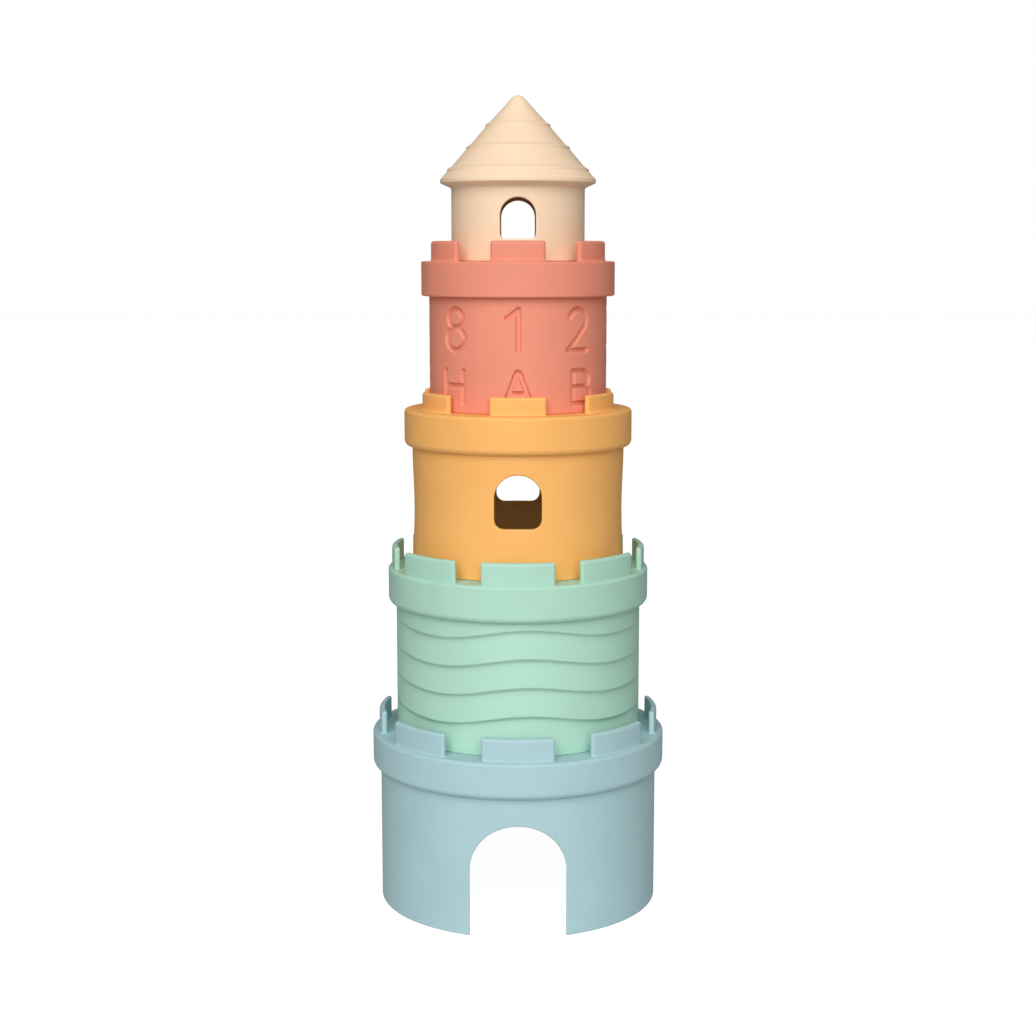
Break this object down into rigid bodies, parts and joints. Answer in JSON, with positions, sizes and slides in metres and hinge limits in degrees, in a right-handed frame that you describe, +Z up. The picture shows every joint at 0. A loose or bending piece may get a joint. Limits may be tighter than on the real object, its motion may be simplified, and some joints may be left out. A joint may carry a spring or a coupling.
{
  "type": "castle stacking toy",
  "caption": "Tower of round moulded cups with battlements, an arched doorway and windows, topped by a turret with a tiered roof; the cups lift off and nest.",
  "frame": {"origin": "middle of the base's foot, on the surface that the tower stands on", "axes": "+Z up along the tower's axis, -Y the way the doorway faces, +X to the viewer's right"},
  "size_m": [0.0918, 0.0918, 0.2504],
  "materials": {
    "silicone_blue": "matte moulded silicone",
    "silicone_mint": "matte moulded silicone",
    "silicone_yellow": "matte moulded silicone",
    "silicone_coral": "matte moulded silicone",
    "silicone_cream": "matte moulded silicone"
  },
  "bodies": {
    "gate_base": {"gate_base": "silicone_blue"},
    "wave_tier": {"wave_tier": "silicone_mint"},
    "window_tier": {"window_tier": "silicone_yellow"},
    "number_tier": {"number_tier": "silicone_coral"},
    "roof_turret": {"roof_turret": "silicone_cream"}
  },
  "joints": [
    {"name": "wave_tier_lift", "type": "slide", "parent": "gate_base", "child": "wave_tier", "axis": [0, 0, 1], "range_m": [0, 0.04]},
    {"name": "window_tier_lift", "type": "slide", "parent": "wave_tier", "child": "window_tier", "axis": [0, 0, 1], "range_m": [0, 0.04]},
    {"name": "number_tier_lift", "type": "slide", "parent": "window_tier", "child": "number_tier", "axis": [0, 0, 1], "range_m": [0, 0.04]},
    {"name": "roof_turret_lift", "type": "slide", "parent": "number_tier", "child": "roof_turret", "axis": [0, 0, 1], "range_m": [0, 0.04]}
  ]
}
